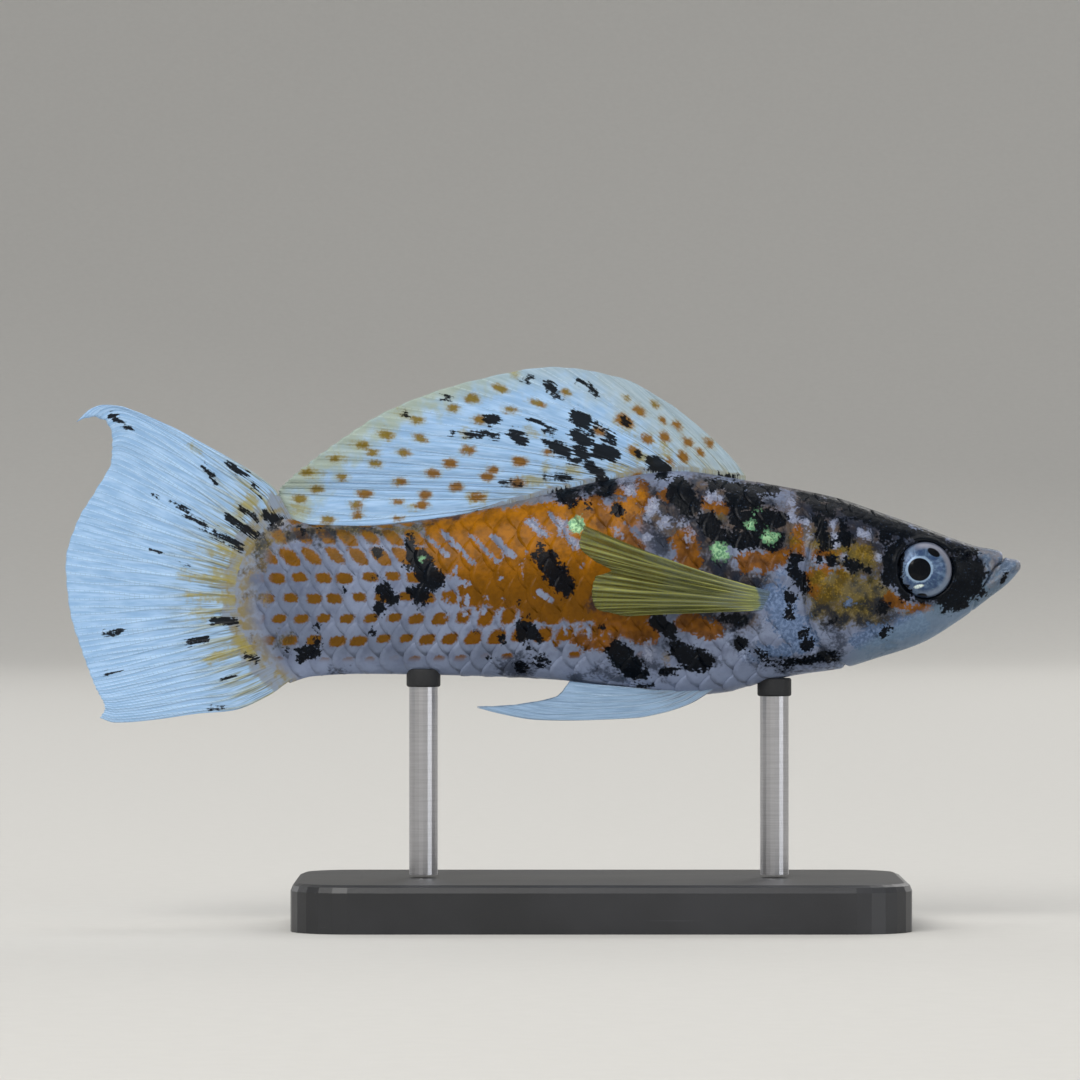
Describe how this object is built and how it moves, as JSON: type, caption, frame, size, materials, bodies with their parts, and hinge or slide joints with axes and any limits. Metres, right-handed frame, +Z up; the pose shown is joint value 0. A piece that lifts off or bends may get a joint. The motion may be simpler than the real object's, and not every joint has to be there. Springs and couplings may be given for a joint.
{
  "type": "sailfin molly model",
  "caption": "Life-size adult male sailfin molly with raised sail fin and spread tail, speckled orange, black and pale blue, held on two rods over a flat base.",
  "frame": {"origin": "centre of the footprint on the floor, under the display base", "axes": "+X towards the snout, +Y towards the fish's left side, +Z up"},
  "size_m": [0.1, 0.034, 0.0584],
  "materials": {
    "skin": "satin, painted as wet scaled skin",
    "fin": "satin, slightly clear, as fin membrane",
    "pectoral": "satin, slightly clear, as fin membrane",
    "eye": "polished",
    "stand_base": "satin black",
    "stand_rod": "fine brushed"
  },
  "bodies": {
    "root": {"head": "skin", "lower_jaw": "skin", "gill_cover_right": "skin", "gill_cover_left": "skin", "trunk": "skin", "tail_stem": "skin", "dorsal_fin": "fin", "caudal_fin": "fin", "gonopodium": "fin", "pelvic_fin_right": "fin", "pelvic_fin_left": "fin", "pectoral_fin_right": "pectoral", "pectoral_fin_left": "pectoral", "eye_right": "eye", "eye_left": "eye", "stand_base": "stand_base", "stand_rod_front": "stand_rod", "stand_rod_rear": "stand_rod"}
  },
  "joints": []
}
